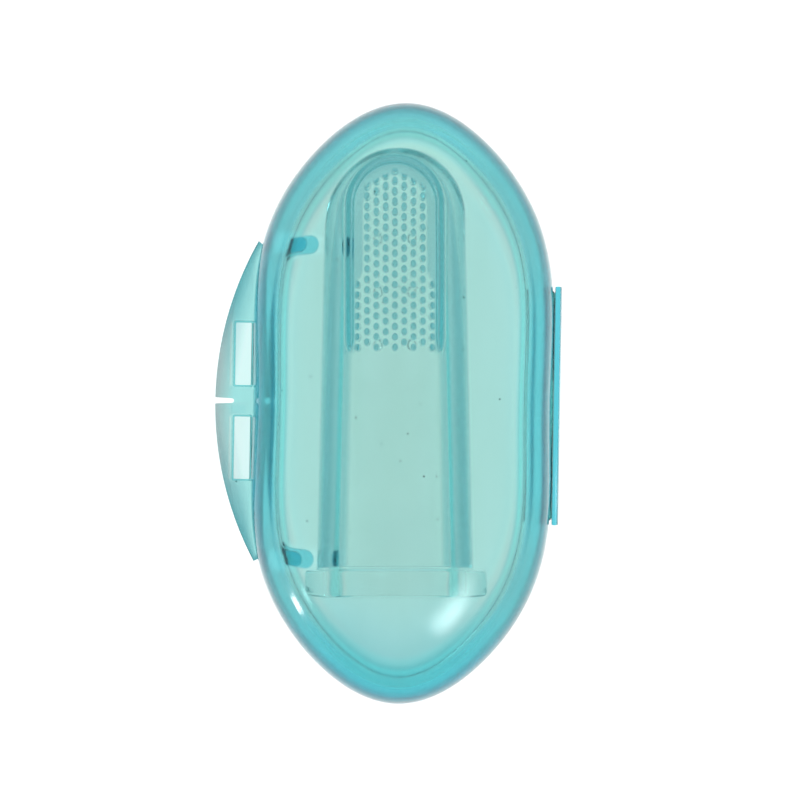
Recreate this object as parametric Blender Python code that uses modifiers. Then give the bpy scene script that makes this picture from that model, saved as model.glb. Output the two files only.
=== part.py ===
"""Finger toothbrush in its hinged travel case.

A clear tinted clamshell (base, lid and the strip of a two-fold living hinge)
holds a soft silicone finger brush: a hollow sleeve with a cuff, a field of
bristles with a guard ridge round it, and massage nubs on the back.

Frame: +Y towards the fingertip end of the case, +X towards the hinge, +Z up.
The origin is at the middle of the underside of the closed case.
"""
import bpy
import bmesh
from math import sin, cos, pi, radians, sqrt, atan2
from mathutils import Vector, Matrix

MM = 0.001

# ---------------------------------------------------------------- dimensions
# Case, closed
CASE_HALF_LENGTH = 40.0 * MM      # along Y, at the parting plane
CASE_HALF_WIDTH = 19.85 * MM      # along X, at the parting plane
CASE_HEIGHT = 29.0 * MM           # both shells together
WALL = 1.2 * MM                   # moulded wall of both shells, over the flats
SIDE_OF_CASE_WALL = 1.9 * MM      # the upright sides are heavier, up to the shoulder
THINS_FROM, THINS_TO = 0.85, 0.97 # part of a shell's height over which the wall thins
SHOULDER_X = 14.0 * MM            # how far the side curves in before the flat
SHOULDER_Y = 22.0 * MM            # the same at the two ends
FULLNESS = 3.5                    # exponent of the shell's profile: 2 is an ellipse
PARTING_GAP = 0.3 * MM            # clearance between the two rims
OVAL_3, OVAL_5, OVAL_7 = -0.0335, -0.0334, -0.0064   # fullness of the oval's sides

# Crescent thumb tab on the latch side (one leaf on each shell)
TAB_REACH = 24.9 * MM             # from the case's centre line to the tip of the crescent
TAB_ARC_RADIUS = 44.4 * MM
TAB_HALF_SPAN = 21.3 * MM
BASE_TAB_THICK, LID_TAB_THICK = 1.2 * MM, 1.8 * MM
WINDOW_X = (-22.35 * MM, -20.15 * MM)
WINDOW_Y = (2.1 * MM, 10.4 * MM)
NOTCH_INNER_X = -22.45 * MM
NOTCH_HALF_OUTER = 0.44 * MM
NOTCH_HALF_INNER = 0.28 * MM
DETENT = (-22.7 * MM, -20.9 * MM, -1.65 * MM, -0.55 * MM)   # x0, x1, y0, y1
DETENT_HIGH = 0.35 * MM

# Two-fold living hinge on the other side
LEAF_EDGE = 20.05 * MM            # outer edge of the ledge on each shell
LEAF_HALF_LONG = 15.3 * MM
LEAF_THICK = 1.0 * MM
STRIP_X = (20.35 * MM, 21.03 * MM)
STRIP_HALF_LONG = 15.87 * MM
FOLD_X = 20.2 * MM                # both fold lines, case closed
FOLD_HALF_APART = 3.7 * MM        # fold lines above and below the parting plane
STRIP_HALF_HIGH = 3.55 * MM

# Locating lugs inside the latch side, two in each shell
LUG_Y = 21.0 * MM
LUG_ROOT_X = -17.8 * MM
BASE_LUG_TIP_X, BASE_LUG_HALF, BASE_LUG_HIGH = -11.5 * MM, 1.3 * MM, 3.3 * MM
LID_LUG_TIP_X, LID_LUG_HALF, LID_LUG_HIGH = -13.2 * MM, 1.05 * MM, 3.6 * MM

# Finger brush, in its own frame: Y from the open end to the fingertip
BRUSH_LONG = 60.4 * MM
BRUSH_AT = (-0.556 * MM, -25.96 * MM, 12.8 * MM)   # open end's centre, from the case's centre line
BRUSH_TURN = radians(0.95)        # it lies a little askew in the case
BRUSH_DIP = radians(2.1)          # fingertip down, resting on its nubs
CUFF_LONG = 3.55 * MM
CUFF_HALF_W = (12.62 * MM, 12.28 * MM)   # at the open end, at its inner edge
CUFF_HALF_H = 11.3 * MM
SLEEVE_HALF_W = (10.42 * MM, 9.37 * MM)  # behind the cuff, where the dome starts
SLEEVE_HALF_H = (9.35 * MM, 8.5 * MM)
DOME_LONG = 9.3 * MM              # round end, seen from above
PAD_FROM = 34.0 * MM              # where the finger pad starts to fall towards the tip
BACK_FROM = 47.0 * MM             # where the back starts to rise towards the tip
SIDE_WALL = 2.4 * MM
TOP_WALL = 1.6 * MM
TIP_WALL = 1.6 * MM
PAD_FLATNESS = 2.5                # exponent of the finger-pad half of the section

# Bristles, guard ridge and nubs
BRISTLE_PITCH_X = 1.22 * MM
BRISTLE_PITCH_Y = 1.387 * MM
BRISTLE_COLUMNS = 4               # on each side of the middle one
BRISTLE_FIRST_Y = 33.05 * MM
BRISTLE_HIGH = 2.3 * MM
BRISTLE_ROOT_R, BRISTLE_TIP_R = 0.40 * MM, 0.30 * MM
FIELD_END_CENTRE, FIELD_END_R = 52.0 * MM, 5.25 * MM
PAD_LOW, PAD_TOP = 0.3 * MM, 0.6 * MM    # underside and top of the bristles' backing
RIDGE_X = 6.25 * MM
RIDGE_R = 0.53 * MM
RIDGE_LIFT = 0.8 * MM
RIDGE_FROM_Y = 32.9 * MM
NUB_X = 2.5 * MM
NUB_Y = (34.2 * MM, 41.3 * MM, 48.4 * MM)
NUB_R, NUB_HALF_HIGH = 0.68 * MM, 0.4 * MM

# The case's centre line is not the middle of the whole: the tab reaches
# further than the hinge.
CASE_X = (TAB_REACH - STRIP_X[1]) / 2
PARTING_Z = CASE_HEIGHT / 2

SEGMENTS = 64
SHELL_ANGLES = (0, 13, 25, 35, 43, 51, 61, 74, 90)

# ------------------------------------------------------------------- helpers
for old in list(bpy.data.objects):
    bpy.data.objects.remove(old, do_unlink=True)

PARTS = bpy.data.collections.new("finger_toothbrush")
CUTTERS = bpy.data.collections.new("cutters")
bpy.context.scene.collection.children.link(PARTS)
bpy.context.scene.collection.children.link(CUTTERS)


def material(name, colour, roughness, alpha):
    mat = bpy.data.materials.new(name)
    mat.use_nodes = True
    shader = mat.node_tree.nodes["Principled BSDF"]
    shader.inputs["Base Color"].default_value = (*colour, 1.0)
    shader.inputs["Roughness"].default_value = roughness
    shader.inputs["Metallic"].default_value = 0.0
    shader.inputs["Alpha"].default_value = alpha
    return mat


CASE_BASE_MAT = material("tinted_case_base", (0.23, 0.66, 0.66), 0.12, 0.5)
CASE_LID_MAT = material("tinted_case_lid", (0.26, 0.69, 0.68), 0.12, 0.5)
STRIP_MAT = material("tinted_hinge_strip", (0.20, 0.62, 0.64), 0.18, 0.6)
SILICONE_MAT = material("clear_silicone", (0.72, 0.80, 0.78), 0.35, 0.6)
BRISTLE_MAT = material("silicone_bristles", (0.70, 0.79, 0.77), 0.4, 0.7)
RIDGE_MAT = material("silicone_ridge", (0.71, 0.79, 0.78), 0.38, 0.7)
NUB_MAT = material("silicone_nubs", (0.69, 0.78, 0.77), 0.38, 0.7)


def add(name, bm, mat, collection=PARTS, smooth=True, sharp=35.0):
    mesh = bpy.data.meshes.new(name)
    bm.to_mesh(mesh)
    bm.free()
    obj = bpy.data.objects.new(name, mesh)
    collection.objects.link(obj)
    if mat is not None:
        mesh.materials.append(mat)
    if smooth:
        mesh.shade_smooth()
        mesh.set_sharp_from_angle(angle=radians(sharp))
    return obj


def empty(name, at, turn=(0.0, 0.0, 0.0)):
    obj = bpy.data.objects.new(name, None)
    obj.location = at
    obj.rotation_euler = turn
    obj.empty_display_size = 5 * MM
    PARTS.objects.link(obj)
    return obj


def hang_on(obj, axis):
    """Parent a piece that was drawn in the row's frame to an unturned empty."""
    obj.parent = axis
    obj.location = tuple(-v for v in axis.location)


def loft(rings, close_start=None, close_end=None):
    """Skin a list of equal rings; each end may close on a point."""
    bm = bmesh.new()
    rows = [[bm.verts.new(p) for p in ring] for ring in rings]
    n = len(rows[0])
    for a, b in zip(rows, rows[1:]):
        for i in range(n):
            j = (i + 1) % n
            bm.faces.new((a[i], a[j], b[j], b[i]))
    for row, point, flip in ((rows[0], close_start, True), (rows[-1], close_end, False)):
        if point is None:
            continue
        tip = bm.verts.new(point)
        for i in range(n):
            j = (i + 1) % n
            bm.faces.new((row[j], row[i], tip) if flip else (row[i], row[j], tip))
    return bm


def oval(half_w, half_l, n=SEGMENTS):
    """The case's outline: an ellipse whose long sides are filled out almost straight."""
    points = []
    for i in range(n):
        a = 2 * pi * i / n
        c = cos(a)
        x = half_w * (c + OVAL_3 * (cos(3 * a) - c) + OVAL_5 * (cos(5 * a) - c)
                      + OVAL_7 * (cos(7 * a) - c))
        points.append((x, half_l * sin(a)))
    return points


def plate(name, outline, z0, z1, collection=CUTTERS, mat=None):
    """A flat outline, given from the case's centre line, as a slab from z0 to z1."""
    curve = bpy.data.curves.new(name + "_outline", "CURVE")
    curve.dimensions = "2D"
    curve.fill_mode = "BOTH"
    curve.extrude = abs(z1 - z0) / 2
    spline = curve.splines.new("POLY")
    spline.points.add(len(outline) - 1)
    for point, (x, y) in zip(spline.points, outline):
        point.co = (x, y, 0.0, 1.0)
    spline.use_cyclic_u = True
    drawn = bpy.data.objects.new(name + "_drawn", curve)
    drawn.location = (CASE_X, 0.0, (z0 + z1) / 2)
    collection.objects.link(drawn)
    bpy.context.view_layer.update()
    mesh = bpy.data.meshes.new_from_object(
        drawn.evaluated_get(bpy.context.evaluated_depsgraph_get()))
    bm = bmesh.new()
    bm.from_mesh(mesh)
    bm.transform(drawn.matrix_world)
    bmesh.ops.remove_doubles(bm, verts=bm.verts, dist=0.00001)
    bmesh.ops.recalc_face_normals(bm, faces=bm.faces)
    bpy.data.objects.remove(drawn, do_unlink=True)
    bpy.data.meshes.remove(mesh)
    obj = add(name, bm, mat, collection, smooth=False)
    if collection is CUTTERS:
        obj.hide_render = True
        obj.display_type = "WIRE"
    return obj


def boolean(obj, tool, operation):
    mod = obj.modifiers.new(operation.lower() + "_" + tool.name, "BOOLEAN")
    mod.operation = operation
    mod.solver = "EXACT"
    mod.object = tool


# ---------------------------------------------------------------------- case
def profile(angle):
    """How far in and how far up the shell's profile has come, each 0 to 1."""
    c, s = max(cos(radians(angle)), 0.0), sin(radians(angle))
    size = (c ** FULLNESS + s ** FULLNESS) ** (1 / FULLNESS)
    return 1 - c / size, s / size


def shell(name, side, mat):
    """One half of the clamshell. side is -1 for the base and +1 for the lid."""
    high = (CASE_HEIGHT - PARTING_GAP) / 2
    rim_z = PARTING_Z + side * PARTING_GAP / 2
    rings = []
    for angle in SHELL_ANGLES:
        inward, upward = profile(angle)
        half_w = CASE_HALF_WIDTH - SHOULDER_X * inward
        half_l = CASE_HALF_LENGTH - SHOULDER_Y * inward
        z = rim_z + side * high * upward
        rings.append([(CASE_X + x, y, z) for x, y in oval(half_w, half_l)])
    bm = loft(rings)
    bm.verts.ensure_lookup_table()
    last = [bm.verts[i] for i in range(len(bm.verts) - SEGMENTS, len(bm.verts))]
    flat = bm.faces.new(last)
    bmesh.ops.recalc_face_normals(bm, faces=bm.faces)
    flat.normal_update()
    if flat.normal.z * side < 0:
        bmesh.ops.reverse_faces(bm, faces=bm.faces)
    obj = add(name, bm, mat)
    heavy = obj.vertex_groups.new(name="heavy_wall")
    for row, angle in enumerate(SHELL_ANGLES):
        share = (profile(angle)[1] - THINS_FROM) / (THINS_TO - THINS_FROM)
        share = min(max(share, 0.0), 1.0)
        heavy.add(list(range(row * SEGMENTS, (row + 1) * SEGMENTS)),
                  1.0 - share * share * (3 - 2 * share), "REPLACE")
    solid = obj.modifiers.new("wall", "SOLIDIFY")
    solid.thickness = SIDE_OF_CASE_WALL
    solid.vertex_group = "heavy_wall"
    solid.thickness_vertex_group = WALL / SIDE_OF_CASE_WALL
    solid.offset = -1.0
    solid.use_even_offset = True
    solid.use_rim = True
    return obj


def crescent(name, z0, z1):
    """Thumb tab leaf: a circular arc outside, the middle of the wall inside."""
    centre_x = -TAB_REACH + TAB_ARC_RADIUS
    steps = 28
    outside = []
    for i in range(steps + 1):
        y = TAB_HALF_SPAN * (1 - 2 * i / steps)
        outside.append((centre_x - sqrt(TAB_ARC_RADIUS ** 2 - y * y), y))
    middle = [(x, y) for x, y in oval(CASE_HALF_WIDTH - WALL / 2,
                                      CASE_HALF_LENGTH - WALL / 2, 4 * SEGMENTS)
              if x < 0 and abs(y) < TAB_HALF_SPAN - 0.4 * MM]
    middle.sort(key=lambda p: p[1])
    return plate(name, outside + middle[::3], z0, z1)


def lug(name, y, tip_x, half, z0, z1):
    """A tongue with a round end that stands in from the side wall."""
    outline = [(LUG_ROOT_X, y - half)]
    for i in range(9):
        a = -pi / 2 + pi * i / 8
        outline.append((tip_x - half + half * cos(a), y + half * sin(a)))
    outline.append((LUG_ROOT_X, y + half))
    return plate(name, outline, z0, z1)


def leaf(name, z0, z1):
    r = 0.5 * MM
    outline = [(19.2 * MM, -LEAF_HALF_LONG), (LEAF_EDGE - r, -LEAF_HALF_LONG),
               (LEAF_EDGE - r * 0.29, -LEAF_HALF_LONG + r * 0.29),
               (LEAF_EDGE, -LEAF_HALF_LONG + r), (LEAF_EDGE, LEAF_HALF_LONG - r),
               (LEAF_EDGE - r * 0.29, LEAF_HALF_LONG - r * 0.29),
               (LEAF_EDGE - r, LEAF_HALF_LONG), (19.2 * MM, LEAF_HALF_LONG)]
    return plate(name, outline, z0, z1)


def notch(name, z0, z1):
    x1 = -TAB_REACH - 0.6 * MM
    return plate(name, [(x1, -NOTCH_HALF_OUTER), (NOTCH_INNER_X, -NOTCH_HALF_INNER),
                        (NOTCH_INNER_X, NOTCH_HALF_INNER), (x1, NOTCH_HALF_OUTER)], z0, z1)


def block(name, x0, x1, y0, y1, z0, z1):
    return plate(name, [(x0, y0), (x1, y0), (x1, y1), (x0, y1)], z0, z1)


RIM_DOWN = PARTING_Z - PARTING_GAP / 2
RIM_UP = PARTING_Z + PARTING_GAP / 2
FLUSH = 0.05 * MM        # the leaves sit this much behind the rims

base_shell = shell("base_shell", -1, CASE_BASE_MAT)
boolean(base_shell, crescent("base_crescent", RIM_DOWN - FLUSH - BASE_TAB_THICK, RIM_DOWN - FLUSH), "UNION")
boolean(base_shell, leaf("base_leaf", PARTING_Z - FOLD_HALF_APART - LEAF_THICK / 2,
                         PARTING_Z - FOLD_HALF_APART + LEAF_THICK / 2), "UNION")
for label, sign in (("front", 1), ("rear", -1)):
    boolean(base_shell, lug("base_lug_" + label, sign * LUG_Y, BASE_LUG_TIP_X, BASE_LUG_HALF,
                            RIM_DOWN - 0.15 * MM - BASE_LUG_HIGH, RIM_DOWN - 0.15 * MM), "UNION")
boolean(base_shell, notch("base_notch", RIM_DOWN - 2 * MM, RIM_DOWN + 0.1 * MM), "DIFFERENCE")

lid_shell = shell("lid_shell", 1, CASE_LID_MAT)
boolean(lid_shell, crescent("lid_crescent", RIM_UP + FLUSH, RIM_UP + FLUSH + LID_TAB_THICK), "UNION")
boolean(lid_shell, leaf("lid_leaf", PARTING_Z + FOLD_HALF_APART - LEAF_THICK / 2,
                        PARTING_Z + FOLD_HALF_APART + LEAF_THICK / 2), "UNION")
for label, sign in (("front", 1), ("rear", -1)):
    boolean(lid_shell, lug("lid_lug_" + label, sign * LUG_Y, LID_LUG_TIP_X, LID_LUG_HALF,
                           RIM_UP + 0.15 * MM, RIM_UP + 0.15 * MM + LID_LUG_HIGH), "UNION")
boolean(lid_shell, block("detent_pad", DETENT[0], DETENT[1], DETENT[2], DETENT[3],
                         RIM_UP + 0.4 * MM, RIM_UP + FLUSH + LID_TAB_THICK + DETENT_HIGH), "UNION")
boolean(lid_shell, notch("lid_notch", RIM_UP - 0.1 * MM, RIM_UP + 2 * MM), "DIFFERENCE")
for label, sign in (("front", 1), ("rear", -1)):
    y0, y1 = sorted((sign * WINDOW_Y[0], sign * WINDOW_Y[1]))
    boolean(lid_shell, block("window_" + label, WINDOW_X[0], WINDOW_X[1], y0, y1,
                             RIM_UP - 0.1 * MM, RIM_UP + 2 * MM), "DIFFERENCE")

hinge_strip = block("hinge_strip_raw", STRIP_X[0], STRIP_X[1], -STRIP_HALF_LONG, STRIP_HALF_LONG,
                    PARTING_Z - STRIP_HALF_HIGH, PARTING_Z + STRIP_HALF_HIGH)
CUTTERS.objects.unlink(hinge_strip)
PARTS.objects.link(hinge_strip)
hinge_strip.name = "hinge_strip"
hinge_strip.hide_render = False
hinge_strip.display_type = "TEXTURED"
hinge_strip.data.materials.append(STRIP_MAT)
edge = hinge_strip.modifiers.new("soft_edges", "BEVEL")
edge.width = 0.1 * MM
edge.segments = 2

strip_axis = empty("strip_fold_axis", (CASE_X + FOLD_X, 0.0, PARTING_Z - FOLD_HALF_APART))
lid_axis = empty("lid_fold_axis", (CASE_X + FOLD_X, 0.0, PARTING_Z + FOLD_HALF_APART))
hang_on(hinge_strip, strip_axis)
hang_on(lid_shell, lid_axis)

# --------------------------------------------------------------------- brush
DOME_FROM = BRUSH_LONG - DOME_LONG

# the brush is tipped out of the case about the middle of its round end
BRUSH_TILT = empty("brush_tilt_axis", (CASE_X, BRUSH_AT[1] + DOME_FROM * cos(BRUSH_DIP),
                                       BRUSH_AT[2] - DOME_FROM * sin(BRUSH_DIP)))
BRUSH = empty("brush_frame", (0.0, 0.0, 0.0))
BRUSH.parent = BRUSH_TILT
BRUSH.location = Vector((CASE_X + BRUSH_AT[0], BRUSH_AT[1], BRUSH_AT[2])) - BRUSH_TILT.location
BRUSH.rotation_mode = "XYZ"
BRUSH.rotation_euler = (-BRUSH_DIP, 0.0, BRUSH_TURN)


def run(y, ends):
    """Straight taper of the sleeve from the cuff to the dome."""
    t = (y - CUFF_LONG) / (DOME_FROM - CUFF_LONG)
    t = min(max(t, 0.0), 1.0)
    return ends[0] + (ends[1] - ends[0]) * t


def fall(y, start, end, power):
    """1 before start, rounding down to 0 at end."""
    if y <= start:
        return 1.0
    u = min((y - start) / (end - start), 1.0)
    return sqrt(max(1.0 - u ** power, 0.0))


def half_width(y):
    return run(y, SLEEVE_HALF_W) * fall(y, DOME_FROM, BRUSH_LONG, 2.0)


def half_top(y):
    return run(y, SLEEVE_HALF_H) * fall(y, PAD_FROM, BRUSH_LONG, 2.4)


def half_back(y):
    return run(y, SLEEVE_HALF_H) * fall(y, BACK_FROM, BRUSH_LONG, 2.2)


def section(y, w, top, back, n):
    """A rounded section: a flattened finger-pad half above an elliptic back."""
    ring = []
    for i in range(n):
        a = 2 * pi * i / n
        c, s = cos(a), sin(a)
        if s >= 0:
            e = 2 / PAD_FLATNESS
            x = w * (abs(c) ** e) * (1 if c >= 0 else -1)
            z = top * abs(s) ** e
        else:
            x, z = w * c, back * s
        ring.append((x, y, z))
    return ring


def pad_surface(x, y):
    """Point and outward normal of the finger-pad side at x, y."""
    def z_at(px, py):
        w = max(half_width(py), 1e-6)
        r = min(abs(px) / w, 0.9999)
        return half_top(py) * (1 - r ** PAD_FLATNESS) ** (1 / PAD_FLATNESS)
    d = 0.02 * MM
    dzdx = (z_at(x + d, y) - z_at(x - d, y)) / (2 * d)
    dzdy = (z_at(x, y + d) - z_at(x, y - d)) / (2 * d)
    return Vector((x, y, z_at(x, y))), Vector((-dzdx, -dzdy, 1.0)).normalized()


N = 32
outer = []
inner = []
# the cuff, with a small round on its edges
for y, w, h in ((0.0, CUFF_HALF_W[0] - 0.45 * MM, CUFF_HALF_H - 0.45 * MM),
                (0.4 * MM, CUFF_HALF_W[0], CUFF_HALF_H),
                (CUFF_LONG - 0.4 * MM, CUFF_HALF_W[1], CUFF_HALF_H - 0.3 * MM),
                (CUFF_LONG, CUFF_HALF_W[1] - 0.45 * MM, CUFF_HALF_H - 0.75 * MM),
                (CUFF_LONG + 0.05 * MM, SLEEVE_HALF_W[0] + 0.5 * MM, SLEEVE_HALF_H[0] + 0.5 * MM),
                (CUFF_LONG + 0.6 * MM, SLEEVE_HALF_W[0], SLEEVE_HALF_H[0])):
    outer.append(section(y, w, h, h, N))
for y in (18.0 * MM, 34.0 * MM, 42.0 * MM, 47.0 * MM, 51.1 * MM, 54.4 * MM, 56.9 * MM,
          58.8 * MM, 59.9 * MM):
    outer.append(section(y, half_width(y), half_top(y), half_back(y), N))


def bore(y):
    """Half width, top and back of the finger bore at y."""
    end = BRUSH_LONG - TIP_WALL
    w = (run(y, SLEEVE_HALF_W) - SIDE_WALL) * fall(y, DOME_FROM, end, 2.0)
    t = (run(y, SLEEVE_HALF_H) - TOP_WALL) * fall(y, PAD_FROM, end, 2.4)
    b = (run(y, SLEEVE_HALF_H) - TOP_WALL) * fall(y, BACK_FROM, end, 2.2)
    return w, t, b


for y in (0.0, 8.0 * MM, 34.0 * MM, 42.0 * MM, 47.0 * MM, 51.1 * MM, 54.0 * MM, 56.2 * MM,
          57.7 * MM, 58.5 * MM):
    w, t, b = bore(y)
    inner.append(section(y, w, t, b, N))
skin = loft(list(reversed(outer)) + inner, close_start=(0.0, BRUSH_LONG, 0.0),
            close_end=(0.0, BRUSH_LONG - TIP_WALL, 0.0))
bmesh.ops.recalc_face_normals(skin, faces=skin.faces)
brush_sleeve = add("brush_sleeve", skin, SILICONE_MAT, sharp=50.0)
brush_sleeve.parent = BRUSH


def bristle_centres():
    centres = []
    for c in range(-BRISTLE_COLUMNS, BRISTLE_COLUMNS + 1):
        x = c * BRISTLE_PITCH_X
        row = 0
        while True:
            y = BRISTLE_FIRST_Y + (row + (0.5 if c % 2 else 0.0)) * BRISTLE_PITCH_Y
            reach = sqrt(max(FIELD_END_R ** 2 - x * x, 0.0))
            if y > FIELD_END_CENTRE + reach:
                break
            centres.append((x, y))
            row += 1
    return centres


def bristle_field():
    """A thin backing of hexagon cells, with one bristle drawn up out of each cell."""
    d, p = BRISTLE_PITCH_X, BRISTLE_PITCH_Y
    near = (d * d - p * p / 4) / (2 * d)
    corners = ((d - near, 0.0), (near, p / 2), (-near, p / 2),
               (near - d, 0.0), (-near, -p / 2), (near, -p / 2))
    bm = bmesh.new()
    shared = {}
    limit = BRISTLE_COLUMNS * d + 0.45 * MM

    def corner(x, y):
        x = min(max(x, -limit), limit)
        key = (round(x / (0.05 * MM)), round(y / (0.05 * MM)))
        if key not in shared:
            point, normal = pad_surface(x, y)
            shared[key] = bm.verts.new(point + normal * PAD_LOW)
            shared[key].index = len(shared)
            spots[shared[key]] = (x, y)
        return shared[key]

    spots = {}
    cells = {}
    for x, y in bristle_centres():
        face = bm.faces.new([corner(x + cx, y + cy) for cx, cy in corners])
        cells[face] = (x, y)
    under = list(cells)
    grown = bmesh.ops.extrude_face_region(bm, geom=under)
    lifted = [g for g in grown["geom"] if isinstance(g, bmesh.types.BMVert)]
    for v in lifted:
        v.co = v.co + lift_at(v.co) * (PAD_TOP - PAD_LOW)
    tops = [g for g in grown["geom"] if isinstance(g, bmesh.types.BMFace)]
    bmesh.ops.recalc_face_normals(bm, faces=bm.faces)
    # draw a bristle out of every cell
    order = sorted(tops, key=lambda f: (round(f.calc_center_median().x, 6),
                                        round(f.calc_center_median().y, 6)))
    for face in order:
        centre = face.calc_center_median()
        x, y = min(cells.values(), key=lambda c: (c[0] - centre.x) ** 2 + (c[1] - centre.y) ** 2)
        root, normal = pad_surface(x, y)
        lean = Vector((normal.x * 0.25, normal.y, normal.z)).normalized()
        side = Vector((1.0, 0.0, 0.0))
        side = (side - lean * side.dot(lean)).normalized()
        up = lean.cross(side)
        foot = root + normal * PAD_TOP
        made = bmesh.ops.inset_individual(bm, faces=[face], thickness=0.15 * MM)
        set_ring(face, foot, side, up, BRISTLE_ROOT_R)
        top = bmesh.ops.extrude_discrete_faces(bm, faces=[face])["faces"][0]
        set_ring(top, root + lean * BRISTLE_HIGH, side, up, BRISTLE_TIP_R)
    bmesh.ops.recalc_face_normals(bm, faces=bm.faces)
    return bm


def lift_at(co):
    return pad_surface(co.x, co.y)[1]


def set_ring(face, centre, side, up, radius):
    """Put a cell's six corners on a circle, each kept in its own direction."""
    mid = face.calc_center_median()
    loops = list(face.verts)
    angles = []
    first = loops[0].co - mid
    start = round(atan2(first.dot(up), first.dot(side)) / (pi / 3)) * (pi / 3)
    turn = 1.0
    second = loops[1].co - mid
    if side.dot(first) * up.dot(second) - up.dot(first) * side.dot(second) < 0:
        turn = -1.0
    for i, v in enumerate(loops):
        a = start + turn * i * pi / 3
        v.co = centre + side * (radius * cos(a)) + up * (radius * sin(a))


bristle_pad = add("bristle_pad", bristle_field(), BRISTLE_MAT, sharp=40.0)
bristle_pad.parent = BRUSH


def guard_ridge_path():
    points = []
    y = RIDGE_FROM_Y
    while y < FIELD_END_CENTRE - 0.5 * MM:
        points.append((-RIDGE_X, y))
        y += 3.1 * MM
    for i in range(17):
        a = pi - pi * i / 16
        points.append((RIDGE_X * cos(a), FIELD_END_CENTRE + RIDGE_X * 1.04 * sin(a)))
    points += [(-x, y) for x, y in reversed(points[:len(points) - 17])]
    return points


ridge = bpy.data.curves.new("guard_ridge", "CURVE")
ridge.dimensions = "3D"
ridge.bevel_depth = RIDGE_R
ridge.bevel_resolution = 2
ridge.use_fill_caps = True
line = ridge.splines.new("POLY")
path = guard_ridge_path()
line.points.add(len(path) - 1)
for spot, (x, y) in zip(line.points, path):
    point, normal = pad_surface(x, y)
    point = point + normal * RIDGE_LIFT
    spot.co = (point.x, point.y, point.z, 1.0)
guard_ridge = bpy.data.objects.new("guard_ridge", ridge)
ridge.materials.append(RIDGE_MAT)
PARTS.objects.link(guard_ridge)
guard_ridge.parent = BRUSH

# Six massage nubs on the back, two columns of three
count = 0
for y in NUB_Y:
    for x in (-NUB_X, NUB_X):
        count += 1
        w, h = half_width(y), half_back(y)
        z = -h * sqrt(1 - (x / w) ** 2)
        normal = Vector((x / (w * w), 0.0, z / (h * h))).normalized()
        bm = bmesh.new()
        bmesh.ops.create_uvsphere(bm, u_segments=12, v_segments=6, radius=NUB_R)
        flat = Matrix.Diagonal((1.0, 1.0, NUB_HALF_HIGH / NUB_R, 1.0))
        turn = Vector((0.0, 0.0, 1.0)).rotation_difference(normal).to_matrix().to_4x4()
        at = Vector((x, y, z)) + normal * (0.3 * MM + NUB_HALF_HIGH)
        bmesh.ops.transform(bm, matrix=turn @ flat, verts=bm.verts)
        nub = add("massage_nub_%d" % count, bm, NUB_MAT, sharp=60.0)
        nub.location = at
        nub.parent = BRUSH
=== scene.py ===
import bpy
import bmesh
import random
from math import sin, cos, pi, radians, sqrt, atan2, acos
from mathutils import Vector, Matrix


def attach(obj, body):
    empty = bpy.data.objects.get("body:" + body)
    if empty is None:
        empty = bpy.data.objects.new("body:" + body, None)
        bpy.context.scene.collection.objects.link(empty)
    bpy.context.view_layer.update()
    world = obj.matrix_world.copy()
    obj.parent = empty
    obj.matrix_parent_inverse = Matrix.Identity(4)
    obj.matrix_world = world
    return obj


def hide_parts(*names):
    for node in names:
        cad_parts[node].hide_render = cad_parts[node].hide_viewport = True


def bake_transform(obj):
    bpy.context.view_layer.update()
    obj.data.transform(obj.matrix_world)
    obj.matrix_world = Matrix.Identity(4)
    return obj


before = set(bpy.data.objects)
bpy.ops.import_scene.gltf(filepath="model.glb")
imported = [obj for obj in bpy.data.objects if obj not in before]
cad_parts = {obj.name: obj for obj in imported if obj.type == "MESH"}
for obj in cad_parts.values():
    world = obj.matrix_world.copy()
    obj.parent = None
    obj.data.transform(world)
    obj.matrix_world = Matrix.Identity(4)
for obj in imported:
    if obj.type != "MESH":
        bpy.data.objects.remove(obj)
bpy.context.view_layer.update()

MM = 0.001

# ------------------------------------------------------------ sizes, as in the CAD
CASE_X = 1.935 * MM
HALF_L, HALF_W, HEIGHT = 40.0 * MM, 19.85 * MM, 29.0 * MM
WALL = 1.2 * MM
SHOULDER_X, SHOULDER_Y = 14.0 * MM, 22.0 * MM
FULLNESS = 3.5
SIDE_WALL_THICK = 1.8 * MM         # the upright sides are heavier, up to the shoulder
GAP = 0.3 * MM
PARTING = HEIGHT / 2
O3, O5, O7 = -0.0335, -0.0334, -0.0064
BASE_RIM, LID_RIM = PARTING - GAP / 2, PARTING + GAP / 2
HIGH = (HEIGHT - GAP) / 2
FLUSH = 0.05 * MM

TURN = 0.0166                      # the camera's roll against the case
SCENE = bpy.context.scene


# ------------------------------------------------------------ mesh helpers
def new_object(name, bm, smooth=True):
    mesh = bpy.data.meshes.new(name)
    bm.to_mesh(mesh)
    bm.free()
    obj = bpy.data.objects.new(name, mesh)
    SCENE.collection.objects.link(obj)
    return obj


def skin(rings, start=None, end=None, closed_ring=True):
    """Quads between equal rings; the ends may run to a point."""
    bm = bmesh.new()
    rows = [[bm.verts.new(p) for p in ring] for ring in rings]
    n = len(rows[0])
    for a, b in zip(rows, rows[1:]):
        for i in range(n):
            j = (i + 1) % n
            bm.faces.new((a[i], a[j], b[j], b[i])).smooth = True
    for row, point in ((rows[0], start), (rows[-1], end)):
        if point is None:
            continue
        tip = bm.verts.new(point)
        for i in range(n):
            bm.faces.new((row[i], row[(i + 1) % n], tip)).smooth = True
    bmesh.ops.recalc_face_normals(bm, faces=bm.faces)
    return bm


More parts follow.
